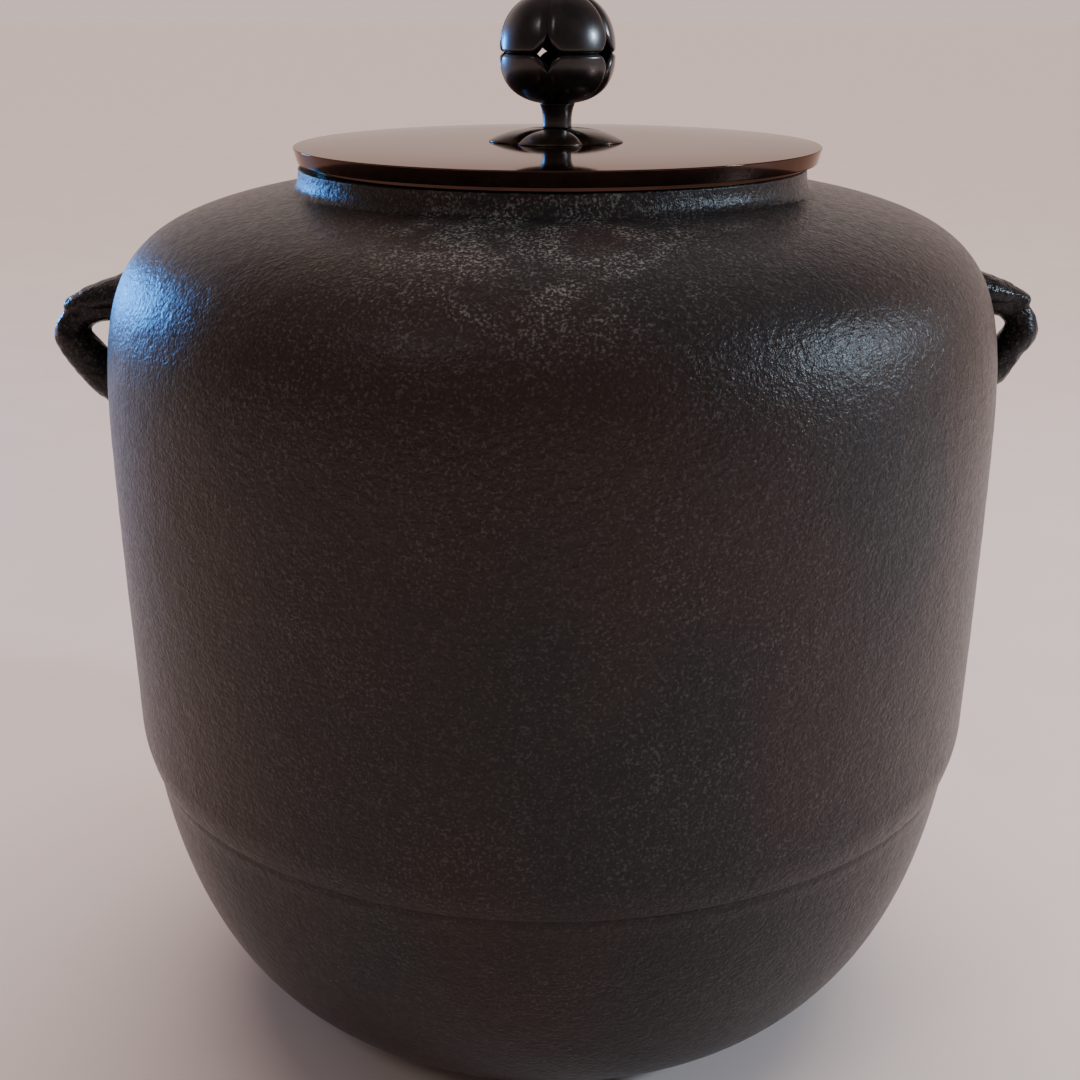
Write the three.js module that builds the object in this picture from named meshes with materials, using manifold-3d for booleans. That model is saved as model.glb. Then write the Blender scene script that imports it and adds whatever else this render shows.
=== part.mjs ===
// A tea-ceremony kettle: a cast-iron body with two twig-shaped lugs, and a loose bronze lid with a pierced
// knob.
// Millimetres, +Z up. The origin is the middle of the flat base, and the two lugs stand on the X axis.
import * as THREE from "three";
import { mergeVertices } from "three/addons/utils/BufferGeometryUtils.js";
import Module from "manifold-3d";

const wasm = await Module();
wasm.setup();

// ---------- driving dimensions ----------
const SEGMENTS = 40; // round the large turned pieces
const SMALL_SEGMENTS = 16; // round the stem and the washer
const KNOB_SEGMENTS = 40; // round each cup of the knob, eight to a lobe
const CLEARANCE = 0.3; // between a lug and the iron it is cast into

// Kettle: the upper casting
const BODY_RADIUS = 112.5;
const WIDEST_HEIGHT = 140;
const SHOULDER_CURVE = [
  [BODY_RADIUS, WIDEST_HEIGHT],
  [BODY_RADIUS, 199.4],
  [112.3, 210.3],
  [62.1, 217.3],
]; // Bezier points of the wall and shoulder; its last stretch runs in under the neck
const WALL = 3.4; // thickness of both iron castings
const WALL_FOOT = [112.15, 84]; // where the wall starts to turn in to the seam
const FOOT_TURN = [111.7, 79.2];
const SEAM_HEIGHT = 75.6;
const SEAM_RADIUS = 110.8;
const MOUTH_HEIGHT = 222.2;
const MOUTH_RADIUS = 58.4;
const NECK_RADIUS = 63;
const NECK_WAIST = [63.2, 219.6];
const NECK_FOOT_RADIUS = 63.9;
const NECK_FOOT_HEIGHT = 218;
const EDGE = 0.5; // how far the sharp edges of the castings are broken

// Kettle: the lower casting and the lap joint
const BASE_RADIUS = 56;
const BOWL_CURVE = [
  [BASE_RADIUS, 0],
  [90.6, 0],
  [104.5, 34.8],
  [109, 70],
]; // Bezier points from the flat base up the side
const STEP_RADIUS = 109.7; // the bowl's top edge, a little inside the wall above it
const STEP_HEIGHT = 73.4;
const LIP_OUTER_RADIUS = 107.2;
const LIP_INNER_RADIUS = 105.2;
const LIP_HEIGHT = 87;
const LAP_RADIUS = 108; // inner wall of the upper casting where the lip enters it
const LAP_HEIGHT = 90;
const BEAD = 2.4; // putty above the lip

// Sounding plates on the inner floor
const PLATE_COUNT = 5;
const PLATE_RING_RADIUS = 31;
const PLATE_TURN = 0.25; // of a step between plates, from the X axis
const PLATE = { length: 24, width: 13, thickness: 2.2, bevel: 0.4 };
const BED = { length: 27, width: 16, thickness: 0.8 };

// Lid, which rests a little off the kettle's axis in its loose fit
const LID_OFFSET = 1.25;
const LID_RADIUS = 65;
const LID_RISE = 4.8; // rim of the lid above the mouth
const LID_CROWN = 0.6; // dome of the lid above its rim
const CROWN_RINGS = [0.8, 0.55, 0.3]; // shares of the lid's radius
const LID_EDGE_RADIUS = 64.1; // the rim draws in to this below
const LID_GAP = 1.2; // shadow gap outside the ring that the lid rests on
const REST_INNER_RADIUS = 59.6;
const REST_OUTER_RADIUS = 61.5;
const FLANGE_OUTER_RADIUS = 56;
const FLANGE_INNER_RADIUS = 53.2;
const FLANGE_DEPTH = 6;
const LID_UNDERSIDE = 2.6; // above the mouth
const HOLE_RADIUS = 3.1; // through the lid, the seat and the washer

// Knob seat: five overlapping round petals
const PETALS = 5;
const PETAL_CENTRE = 7.8;
const PETAL_RADIUS = 9.2;
const SEAT_EDGE = 0.6;
const SEAT_TOP = 3.75; // above the rim of the lid
const SEAT_FLAT_RADIUS = 5.5; // the stem stands on this
const SEAT_RADIUS = PETAL_CENTRE + PETAL_RADIUS;
const SEAT_SLOPE = [0.75, 0.6]; // shares of the radius where the rim and the top curve into the slope
const PETAL_SEGMENTS = 16;
const SEAT_TURN = THREE.MathUtils.degToRad(7.5);

// Stem and rivet
const STEM_FOOT_RADIUS = 3.6;
const STEM_WAIST = [3.55, 1.2]; // radius, and height above the foot
const STEM_FLARE = [3.8, 3.2];
const STEM_HEAD_RADIUS = 4.45;
const SHANK_RADIUS = 2.9;
const RIVET_RADIUS = 4.4;
const RIVET_HEIGHT = 1.3;
const RIVET_SHOULDER = [0.7, 0.8]; // shares of the radius and the height
const WASHER_RADIUS = 8;
const WASHER_THICKNESS = 1;

// Knob: two fluted cups that meet at the equator
const KNOB_RADIUS = 14.15;
const KNOB_CENTRE = 21.3; // above the rim of the lid
const KNOB_DOWN = 11.9; // equator to the flat underside
const KNOB_UP = 14.2; // equator to the crown
const KNOB_ROUNDNESS = 2.3; // exponent of the outline: 2 is an ellipse, more is squarer
const KNOB_SHELL = 1.8;
const KNOB_TURN = THREE.MathUtils.degToRad(5);
const LOBES = 5;
const FLUTE_DEPTH = 0.8;
const FLUTE_FADE = 1.6; // how soon a flute reaches its full depth, away from the pole
const FLUTE_WIDTH = THREE.MathUtils.degToRad(13);
const GROOVE_DEPTH = 0.8; // round the equator
const GROOVE_HALF_HEIGHT = 0.6;
const STAR_HALF_WIDTH = 3.6; // the pierced four-pointed stars
const STAR_HALF_HEIGHT = 3.9;
const STAR_BAR = { start: 6, length: 12 }; // the bars that pierce the shell, from the axis outwards
const STAR_ROUNDNESS = 0.8; // exponent of the outline: 1 is a diamond, less draws the sides in

// Lugs: each limb is a row of stations [distance from the axis, height, radius]
const LUG_LOOP = [
  [111, 163.5, 5.2],
  [116, 167.3, 5],
  [120.8, 172.7, 4.5],
  [124.1, 180, 4.4],
  [119.8, 186.6, 3.6],
  [111, 189, 3.8],
];
const LUG_TONGUE = [
  [107, 191.3, 5],
  [115.5, 189.7, 4.2],
  [122.4, 187.6, 3.1],
];
const LUG_BREADTH = 1.2; // how much wider than high a limb is
const LIMB_SEGMENTS = 10;
const ROOT_RADIUS = 3;
const ROOT_DEPTH = 2.2; // how far a root reaches into the wall
const ROOT_LENGTH = 6;
const ROOT_HEIGHTS = [165.5, 189.5];

// ---------- helpers ----------
// A closed three.js geometry as a manifold solid.
function solid(geometry) {
  const bare = geometry.index ? geometry.toNonIndexed() : geometry.clone();
  bare.deleteAttribute("normal");
  bare.deleteAttribute("uv");
  const merged = mergeVertices(bare, 1e-4);
  const index = merged.index.array;
  const kept = [];
  for (let i = 0; i < index.length; i += 3) {
    const [a, b, c] = [index[i], index[i + 1], index[i + 2]];
    if (a !== b && b !== c && c !== a) kept.push(a, b, c);
  }
  return new wasm.Manifold(
    new wasm.Mesh({
      numProp: 3,
      vertProperties: merged.attributes.position.array,
      triVerts: new Uint32Array(kept),
    }),
  );
}

function geometryOf(manifold) {
  const { vertProperties, triVerts } = manifold.getMesh();
  const geometry = new THREE.BufferGeometry();
  geometry.setAttribute("position", new THREE.BufferAttribute(vertProperties, 3));
  geometry.setIndex(new THREE.BufferAttribute(triVerts, 1));
  geometry.computeVertexNormals();
  return geometry;
}

// Turns a closed profile of [radius, height] points about Z. The points run with the metal on their left.
function turned(points, segments = SEGMENTS) {
  const closed = points.map(([r, z]) => new THREE.Vector2(r, z));
  closed.push(closed[0].clone());
  return new THREE.LatheGeometry(closed, segments).rotateX(Math.PI / 2);
}

function bezier(controlPoints, divisions) {
  const curve = new THREE.CubicBezierCurve(...controlPoints.map(([r, z]) => new THREE.Vector2(r, z)));
  return curve.getPoints(divisions).map((p) => [p.x, p.y]);
}

// Moves each point of a line sideways by a distance, to the left of the way it runs.
function offset(points, distance) {
  return points.map(([r, z], i) => {
    const [r0, z0] = points[Math.max(i - 1, 0)];
    const [r1, z1] = points[Math.min(i + 1, points.length - 1)];
    const length = Math.hypot(r1 - r0, z1 - z0);
    return [r - (distance * (z1 - z0)) / length, z + (distance * (r1 - r0)) / length];
  });
}

function piece(name, shape, material) {
  const geometry = shape.isBufferGeometry ? shape : geometryOf(shape);
  const mesh = new THREE.Mesh(geometry, material);
  mesh.name = name;
  return mesh;
}

function finish(color, roughness, metalness) {
  return new THREE.MeshStandardMaterial({ color, roughness, metalness });
}

// ---------- kettle castings ----------
// The outside of the shoulder and wall, from the foot of the wall up to the neck.
const wallOutside = [WALL_FOOT, ...bezier(SHOULDER_CURVE, 10).slice(0, -1)];
const wallInside = offset(wallOutside, WALL).slice(1);

function bodySolid() {
  const outside = [
    [SEAM_RADIUS, SEAM_HEIGHT],
    FOOT_TURN,
    ...wallOutside,
    [NECK_FOOT_RADIUS, NECK_FOOT_HEIGHT],
    NECK_WAIST,
    [NECK_RADIUS, MOUTH_HEIGHT - EDGE],
    [NECK_RADIUS - EDGE, MOUTH_HEIGHT],
  ];
  const inside = [
    [MOUTH_RADIUS + EDGE, MOUTH_HEIGHT],
    [MOUTH_RADIUS, MOUTH_HEIGHT - EDGE],
    [MOUTH_RADIUS, NECK_FOOT_HEIGHT - WALL],
    ...wallInside.reverse(),
    [LAP_RADIUS, LAP_HEIGHT],
    [LAP_RADIUS, SEAM_HEIGHT],
  ];
  return solid(turned([...outside, ...inside]));
}

function bottomGeometry() {
  const bowl = bezier(BOWL_CURVE, 9);
  const outside = [
    [0, 0],
    ...bowl,
    [STEP_RADIUS, STEP_HEIGHT],
    [STEP_RADIUS, SEAM_HEIGHT - EDGE],
    [STEP_RADIUS - EDGE, SEAM_HEIGHT],
  ];
  const lip = [
    [LIP_OUTER_RADIUS, SEAM_HEIGHT],
    [LIP_OUTER_RADIUS, LIP_HEIGHT],
    [LIP_INNER_RADIUS, LIP_HEIGHT],
  ];
  const inside = offset(bowl, WALL).slice(1).reverse();
  return turned([...outside, ...lip, ...inside, [BASE_RADIUS, WALL], [0, WALL]]);
}

function fillerGeometry() {
  return turned([
    [LIP_OUTER_RADIUS, SEAM_HEIGHT],
    [LAP_RADIUS, SEAM_HEIGHT],
    [LAP_RADIUS, LIP_HEIGHT + BEAD],
    [LIP_OUTER_RADIUS - BEAD / 2, LIP_HEIGHT],
    [LIP_OUTER_RADIUS, LIP_HEIGHT],
  ]);
}

// ---------- lugs ----------
// Balls at the stations with cones between them, in the XZ plane, made broader along Y.
function limb(stations) {
  let whole = null;
  const join = (geometry) => {
    const part = solid(geometry);
    whole = whole ? whole.add(part) : part;
  };
  stations.forEach(([x, z, radius], i) => {
    join(new THREE.SphereGeometry(radius, LIMB_SEGMENTS, LIMB_SEGMENTS / 2).translate(x, 0, z));
    if (i === stations.length - 1) return;
    const [x1, z1, radius1] = stations[i + 1];
    const along = new THREE.Vector3(x1 - x, 0, z1 - z);
    const cone = new THREE.CylinderGeometry(radius1, radius, along.length(), LIMB_SEGMENTS);
    const turn = new THREE.Quaternion();
    turn.setFromUnitVectors(THREE.Object3D.DEFAULT_UP, along.normalize());
    join(cone.applyQuaternion(turn).translate((x + x1) / 2, 0, (z + z1) / 2));
  });
  return whole;
}

// A round bar along X whose inner end is the given depth inside the widest radius.
function rootBar(height, radius, depth) {
  const bar = new THREE.CylinderGeometry(radius, radius, ROOT_LENGTH, LIMB_SEGMENTS).rotateZ(Math.PI / 2);
  return solid(bar.translate(BODY_RADIUS - depth + ROOT_LENGTH / 2, 0, height));
}

function wallRadiusAt(height) {
  const i = wallOutside.findIndex(([, z]) => z > height);
  const [[r0, z0], [r1, z1]] = [wallOutside[i - 1], wallOutside[i]];
  return r0 + ((r1 - r0) * (height - z0)) / (z1 - z0);
}

const rootDepth = (height) => BODY_RADIUS - wallRadiusAt(height) + ROOT_DEPTH;

function lugSolid() {
  const swollen = offset(wallOutside, -CLEARANCE);
  const wall = solid(turned([[0, swollen[0][1]], ...swollen, [0, swollen.at(-1)[1]]]));
  let lug = limb(LUG_LOOP).add(limb(LUG_TONGUE)).scale([1, LUG_BREADTH, 1]).subtract(wall);
  for (const height of ROOT_HEIGHTS) lug = lug.add(rootBar(height, ROOT_RADIUS, rootDepth(height)));
  return lug;
}

function bodyWithSockets() {
  let body = bodySolid();
  for (const height of ROOT_HEIGHTS) {
    const socket = rootBar(height, ROOT_RADIUS + CLEARANCE, rootDepth(height) + CLEARANCE);
    body = body.subtract(socket).subtract(socket.rotate([0, 0, 180]));
  }
  return body;
}

// ---------- sounding plates ----------
function bevelledPlate({ length, width, thickness, bevel }) {
  const outline = new THREE.Shape();
  const [x, y] = [length / 2 - bevel, width / 2 - bevel];
  outline.moveTo(-x, -y).lineTo(x, -y).lineTo(x, y).lineTo(-x, y).closePath();
  const options = { depth: thickness - 2 * bevel, bevelThickness: bevel, bevelSize: bevel, bevelSegments: 1 };
  return new THREE.ExtrudeGeometry(outline, options).translate(0, 0, bevel);
}

// ---------- lid ----------
// Heights in this section are above the mouth, and LID_RISE is the plane of the lid's rim.
function crownHeight(radius) {
  return LID_RISE + LID_CROWN * (1 - (radius / LID_RADIUS) ** 2);
}

function lidGeometry() {
  const top = CROWN_RINGS.map((share) => [LID_RADIUS * share, crownHeight(LID_RADIUS * share)]);
  return turned([
    [HOLE_RADIUS, LID_UNDERSIDE],
    [FLANGE_INNER_RADIUS, LID_UNDERSIDE],
    [FLANGE_INNER_RADIUS, -FLANGE_DEPTH],
    [FLANGE_OUTER_RADIUS - EDGE, -FLANGE_DEPTH],
    [FLANGE_OUTER_RADIUS, -FLANGE_DEPTH + EDGE],
    [FLANGE_OUTER_RADIUS, LID_GAP],
    [REST_INNER_RADIUS, LID_GAP],
    [REST_INNER_RADIUS, 0],
    [REST_OUTER_RADIUS, 0],
    [REST_OUTER_RADIUS, LID_GAP],
    [LID_EDGE_RADIUS, LID_GAP],
    [LID_RADIUS, LID_RISE - EDGE],
    [LID_RADIUS - EDGE, LID_RISE],
    ...top,
    [HOLE_RADIUS, crownHeight(0)],
  ]);
}

function seatSolid() {
  const bottom = crownHeight(0);
  const height = SEAT_TOP - LID_CROWN;
  const slope = [
    [SEAT_RADIUS, SEAT_EDGE],
    [SEAT_RADIUS * SEAT_SLOPE[0], SEAT_EDGE * 2],
    [SEAT_RADIUS * SEAT_SLOPE[1], height],
    [SEAT_FLAT_RADIUS, height],
  ];
  const dome = [
    [HOLE_RADIUS, 0],
    [SEAT_RADIUS + 1, 0],
    [SEAT_RADIUS + 1, SEAT_EDGE],
    ...bezier(slope, 5),
    [HOLE_RADIUS, height],
  ];
  let petals = null;
  for (let i = 0; i < PETALS; i += 1) {
    const angle = SEAT_TURN + (i * 2 * Math.PI) / PETALS + Math.PI;
    const disc = new THREE.CylinderGeometry(PETAL_RADIUS, PETAL_RADIUS, SEAT_TOP * 3, PETAL_SEGMENTS);
    const petal = solid(disc.rotateX(Math.PI / 2).translate(PETAL_CENTRE, 0, SEAT_TOP).rotateZ(angle));
    petals = petals ? petals.add(petal) : petal;
  }
  return solid(turned(dome)).intersect(petals).translate([0, 0, bottom]);
}

function stemGeometry() {
  const foot = LID_RISE + SEAT_TOP;
  const head = LID_RISE + KNOB_CENTRE - KNOB_DOWN;
  const inKnob = head + KNOB_SHELL;
  const washerFace = LID_UNDERSIDE - WASHER_THICKNESS;
  return turned(
    [
      [0, washerFace - RIVET_HEIGHT],
      [RIVET_RADIUS * RIVET_SHOULDER[0], washerFace - RIVET_HEIGHT * RIVET_SHOULDER[1]],
      [RIVET_RADIUS, washerFace],
      [SHANK_RADIUS, washerFace],
      [SHANK_RADIUS, foot],
      [STEM_FOOT_RADIUS, foot],
      [STEM_WAIST[0], foot + STEM_WAIST[1]],
      [STEM_FLARE[0], foot + STEM_FLARE[1]],
      [STEM_HEAD_RADIUS, head],
      [SHANK_RADIUS, head],
      [SHANK_RADIUS, inKnob],
      [RIVET_RADIUS, inKnob],
      [RIVET_RADIUS * RIVET_SHOULDER[0], inKnob + RIVET_HEIGHT * RIVET_SHOULDER[1]],
      [0, inKnob + RIVET_HEIGHT],
    ],
    SMALL_SEGMENTS,
  );
}

function washerGeometry() {
  return turned(
    [
      [HOLE_RADIUS, LID_UNDERSIDE - WASHER_THICKNESS],
      [WASHER_RADIUS, LID_UNDERSIDE - WASHER_THICKNESS],
      [WASHER_RADIUS, LID_UNDERSIDE],
      [HOLE_RADIUS, LID_UNDERSIDE],
    ],
    SMALL_SEGMENTS,
  );
}

// ---------- knob ----------
// A quarter of the knob's outline from the equator to the pole: radius across, height up.
function quarter(across, up, fromHeight, toRadius, count) {
  const power = 2 / KNOB_ROUNDNESS;
  const start = Math.asin((fromHeight / up) ** (1 / power));
  const end = Math.acos((toRadius / across) ** (1 / power));
  return Array.from({ length: count + 1 }, (_, i) => {
    const t = start + ((end - start) * i) / count;
    return [across * Math.cos(t) ** power, up * Math.sin(t) ** power];
  });
}

// Presses the vertical flutes between the lobes. Nothing moves near the axis.
function flute(geometry) {
  const position = geometry.attributes.position;
  const step = (2 * Math.PI) / LOBES;
  for (let i = 0; i < position.count; i += 1) {
    const [x, y] = [position.getX(i), position.getY(i)];
    const radius = Math.hypot(x, y);
    if (radius < STEM_HEAD_RADIUS + 0.5) continue;
    const away = Math.atan2(y, x) - KNOB_TURN - Math.PI;
    const offCentre = away - step * Math.round(away / step);
    const share = (radius - STEM_HEAD_RADIUS) / (KNOB_RADIUS - STEM_HEAD_RADIUS);
    const depth = FLUTE_DEPTH * Math.min(share * FLUTE_FADE, 1) * Math.exp(-((offCentre / FLUTE_WIDTH) ** 2));
    position.setXY(i, (x * (radius - depth)) / radius, (y * (radius - depth)) / radius);
  }
  return geometry;
}

// The five pierced stars, as bars that run out from the axis.
function stars() {
  const starPower = (value) => Math.sign(value) * Math.abs(value) ** (2 / STAR_ROUNDNESS);
  const outline = new THREE.Shape();
  const steps = 16;
  for (let i = 0; i < steps; i += 1) {
    const t = (i * 2 * Math.PI) / steps;
    const x = STAR_HALF_WIDTH * starPower(Math.cos(t));
    const y = STAR_HALF_HEIGHT * starPower(Math.sin(t));
    if (i === 0) outline.moveTo(x, y);
    else outline.lineTo(x, y);
  }
  outline.closePath();
  const bar = new THREE.ExtrudeGeometry(outline, { depth: STAR_BAR.length, bevelEnabled: false });
  bar.rotateX(Math.PI / 2).rotateZ(Math.PI / 2).translate(STAR_BAR.start, 0, 0);
  const start = KNOB_TURN + Math.PI;
  return Array.from({ length: LOBES }, (_, i) =>
    solid(bar.clone().rotateZ(start + (i * 2 * Math.PI) / LOBES)),
  );
}

// One cup, from the rim at the equator up to its pole. A cup with a floor is flat there, with a hole for the
// rivet.
function knobCup(up, hasFloor) {
  const poleRadius = hasFloor ? STEM_HEAD_RADIUS : 0;
  const ceiling = up - KNOB_SHELL;
  const outside = quarter(KNOB_RADIUS, up, GROOVE_HALF_HEIGHT, poleRadius, 6);
  const inside = quarter(KNOB_RADIUS - KNOB_SHELL, ceiling, 0, poleRadius, 5);
  outside.at(-1)[1] = up;
  inside.at(-1)[1] = ceiling;
  const hole = hasFloor ? [[HOLE_RADIUS, up], [HOLE_RADIUS, ceiling]] : [];
  const rim = [KNOB_RADIUS - GROOVE_DEPTH, 0];
  let cup = solid(flute(turned([rim, ...outside, ...hole, ...inside.reverse()], KNOB_SEGMENTS)));
  for (const star of stars()) cup = cup.subtract(star);
  return cup;
}

// ---------- assembly ----------
const castIron = finish(0x2b2624, 0.62, 0.6);
const lugIron = finish(0x1f1c1b, 0.45, 0.7);
const putty = finish(0x3a322d, 0.8, 0.2);
const plateIron = finish(0x2f2b29, 0.7, 0.6);
const lidBronze = finish(0x2d1713, 0.12, 0.85);
const seatBronze = finish(0x3a241b, 0.25, 0.85);
const knobBronze = finish(0x131012, 0.18, 0.8);

const kettle = new THREE.Group();
kettle.add(piece("kettle_body", bodyWithSockets(), castIron));
kettle.add(piece("kettle_bottom", bottomGeometry(), castIron));
kettle.add(piece("seam_filler", fillerGeometry(), putty));
kettle.add(piece("right_lug", lugSolid(), lugIron));
const leftLug = piece("left_lug", lugSolid(), lugIron);
leftLug.rotation.z = Math.PI;
kettle.add(leftLug);

for (let i = 0; i < PLATE_COUNT; i += 1) {
  const spot = new THREE.Group();
  spot.rotation.z = ((i + PLATE_TURN) * 2 * Math.PI) / PLATE_COUNT;
  const bed = new THREE.BoxGeometry(BED.width, BED.length, BED.thickness);
  const bedPiece = piece(`plate_bed_${i + 1}`, bed, putty);
  bedPiece.position.set(PLATE_RING_RADIUS, 0, WALL + BED.thickness / 2);
  const platePiece = piece(`sounding_plate_${i + 1}`, bevelledPlate(PLATE).rotateZ(Math.PI / 2), plateIron);
  platePiece.position.set(PLATE_RING_RADIUS, 0, WALL + BED.thickness);
  spot.add(bedPiece, platePiece);
  kettle.add(spot);
}

const lid = new THREE.Group();
lid.position.set(LID_OFFSET, 0, MOUTH_HEIGHT);
lid.add(piece("lid_plate", lidGeometry(), lidBronze));
lid.add(piece("knob_seat", seatSolid(), seatBronze));
lid.add(piece("knob_stem", stemGeometry(), knobBronze));
lid.add(piece("rivet_washer", washerGeometry(), seatBronze));

const knob = new THREE.Group();
knob.position.z = LID_RISE + KNOB_CENTRE;
knob.add(piece("knob_upper_cup", knobCup(KNOB_UP, false), knobBronze));
knob.add(piece("knob_lower_cup", knobCup(KNOB_DOWN, true).mirror([0, 0, 1]), knobBronze));
lid.add(knob);

const teaKettle = new THREE.Group();
teaKettle.add(kettle, lid);

export default teaKettle;
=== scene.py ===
# %% [markdown]
# # A tea-ceremony kettle in cast iron
# The kettle is two iron castings, two twig-shaped lugs cast into its sides, and a loose bronze lid with a
# pierced knob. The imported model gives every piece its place. This file gives each piece its fine surface
# and its finish, one short step at a time.

# %% Load the frame
import math

import bmesh
import bpy
import numpy as np
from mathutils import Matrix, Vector, noise


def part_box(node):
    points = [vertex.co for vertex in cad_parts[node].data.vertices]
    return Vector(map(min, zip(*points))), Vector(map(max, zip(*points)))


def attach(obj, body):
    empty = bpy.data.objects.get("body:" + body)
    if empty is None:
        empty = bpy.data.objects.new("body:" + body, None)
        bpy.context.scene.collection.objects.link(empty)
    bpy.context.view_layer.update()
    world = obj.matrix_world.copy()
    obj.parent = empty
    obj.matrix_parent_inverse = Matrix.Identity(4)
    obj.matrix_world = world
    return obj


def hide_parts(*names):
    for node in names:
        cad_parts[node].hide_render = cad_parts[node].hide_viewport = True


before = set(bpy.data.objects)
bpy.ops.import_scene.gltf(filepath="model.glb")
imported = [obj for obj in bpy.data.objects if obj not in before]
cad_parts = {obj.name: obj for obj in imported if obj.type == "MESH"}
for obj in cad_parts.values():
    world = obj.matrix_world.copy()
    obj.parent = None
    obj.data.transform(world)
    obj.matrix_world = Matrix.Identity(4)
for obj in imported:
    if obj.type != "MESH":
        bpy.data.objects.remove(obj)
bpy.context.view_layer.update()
MM = 0.001

# %% [markdown]
# ## Sizes
# The heights and radii could be typed in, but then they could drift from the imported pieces. They come from
# the boxes of those pieces instead, so that the fine meshes fall exactly where the plain ones are. All
# lengths below are in millimetres, and a mesh is scaled to metres when it is made.

# %% Read the main sizes
def box_mm(node):
    """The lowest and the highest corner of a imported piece."""
    low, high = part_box(node)
    return np.array(low) / MM, np.array(high) / MM


body_low, body_high = box_mm("kettle_body")
lid_low, lid_high = box_mm("lid_plate")

BODY_RADIUS = body_high[1]
SEAM_HEIGHT = body_low[2]
MOUTH_HEIGHT = body_high[2]
LID_CENTRE = (lid_low[0] + lid_high[0]) / 2
LID_RADIUS = (lid_high[0] - lid_low[0]) / 2
LID_CROWN = 0.6
LID_RIM = lid_high[2] - LID_CROWN
print(f"body radius {BODY_RADIUS:.1f}, seam at {SEAM_HEIGHT:.1f}, mouth at {MOUTH_HEIGHT:.1f}")
print(f"lid radius {LID_RADIUS:.1f}, centre {LID_CENTRE:.2f} off the axis, rim at {LID_RIM:.1f}")

# %% [markdown]
# ## Turned outlines
# Most of the kettle is round: the founder shapes its clay mould with a turning board, whose edge is the
# outline. The same idea works here. An outline is a line of points [distance from the axis, height], its
# sharp corners are rounded a little, long stretches get more points, and the line is turned about the axis
# into rings of faces. A Screw modifier could turn it too, but rings in code can also be pushed in and out,
# which a hand-made casting needs.

# %% Smooth curves
def bezier(start, start_handle, end_handle, end, count=24):
    t = np.linspace(0, 1, count)[:, None]
    points = [np.array(p, float) for p in (start, start_handle, end_handle, end)]
    weights = ((1 - t) ** 3, 3 * (1 - t) ** 2 * t, 3 * (1 - t) * t ** 2, t ** 3)
    return [tuple(p) for p in sum(w * p for w, p in zip(weights, points))]


print("a quarter turn comes to", bezier((1, 0), (1, 0.55), (0.55, 1), (0, 1), 3)[1])

# %% Soft corners
LONGEST_SHARE = 0.45
NEARLY_STRAIGHT = 0.02
HOLD = 1.1


def rounded(points, reach, closed=True, steps=5):
    """Replace each sharp corner with a short curve that starts `reach` before it.

    A point just outside each end of the curve holds the flat side flat when the faces are shaded smooth.
    """
    result = []
    count = len(points)
    for i, corner in enumerate(points):
        here = np.array(corner, float)
        back = np.array(points[i - 1], float) - here
        on = np.array(points[(i + 1) % count], float) - here
        bend = 1 + back @ on / (np.linalg.norm(back) * np.linalg.norm(on))
        at_an_end = not closed and i in (0, count - 1)
        if at_an_end or bend < NEARLY_STRAIGHT:
            result.append(corner)
            continue
        start = here + back * min(LONGEST_SHARE, reach / np.linalg.norm(back))
        end = here + on * min(LONGEST_SHARE, reach / np.linalg.norm(on))
        result.append(tuple(here + (start - here) * HOLD))
        for t in np.linspace(0, 1, steps):
            result.append(tuple((1 - t) ** 2 * start + 2 * t * (1 - t) * here + t ** 2 * end))
        result.append(tuple(here + (end - here) * HOLD))
    return result


print("a square with soft corners has", len(rounded([(0, 0), (9, 0), (9, 9), (0, 9)], 1)), "points")

# %% Short steps
def refined(points, step, closed=True):
    """Add points so that no stretch is longer than `step`."""
    result = []
    ends = points[1:] + points[:1] if closed else points[1:]
    for a, b in zip(points, ends):
        parts = max(1, math.ceil(math.dist(a, b) / step))
        result += [tuple(np.array(a) + (np.array(b) - np.array(a)) * k / parts) for k in range(parts)]
    return result if closed else result + [points[-1]]


print("a line of 9 in steps of 2 has", len(refined([(0, 0), (9, 0)], 2, closed=False)), "points")

# %% [markdown]
# ## From rings to a mesh
# Every turned or swept piece is the same net of rows and columns. Blender's own primitives would each need
# their own clean-up, so one helper makes them all. It takes rows of points that close round the piece,
# joins the rows with four-sided faces, merges what meets on the axis and points all faces outwards.

# %% Make a mesh from rings
def finish_mesh(name, mesh):
    """Merge doubled points, turn the faces outwards, shade them smooth and put the piece in the scene."""
    work = bmesh.new()
    work.from_mesh(mesh)
    bmesh.ops.remove_doubles(work, verts=work.verts, dist=1e-7)
    bmesh.ops.dissolve_degenerate(work, edges=work.edges, dist=1e-8)
    bmesh.ops.recalc_face_normals(work, faces=work.faces)
    work.to_mesh(mesh)
    work.free()
    mesh.polygons.foreach_set("use_smooth", [True] * len(mesh.polygons))
    piece = bpy.data.objects.new(name, mesh)
    bpy.context.scene.collection.objects.link(piece)
    print(f"{name}: {len(mesh.vertices)} points")
    return piece


def grid_piece(name, rows, closed_rows=True):
    """rows[i][j] is a point in millimetres. Columns always close; rows close when closed_rows is true."""
    rows = np.asarray(rows, float)
    count, columns = rows.shape[:2]
    i = np.arange(count if closed_rows else count - 1)[:, None]
    j = np.arange(columns)[None, :]
    corners = [(i, j), (i, j + 1), (i + 1, j + 1), (i + 1, j)]
    faces = np.stack([(a % count) * columns + b % columns for a, b in corners], axis=-1).reshape(-1, 4)
    mesh = bpy.data.meshes.new(name)
    mesh.from_pydata((rows.reshape(-1, 3) * MM).tolist(), [], faces.tolist())
    return finish_mesh(name, mesh)

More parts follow.
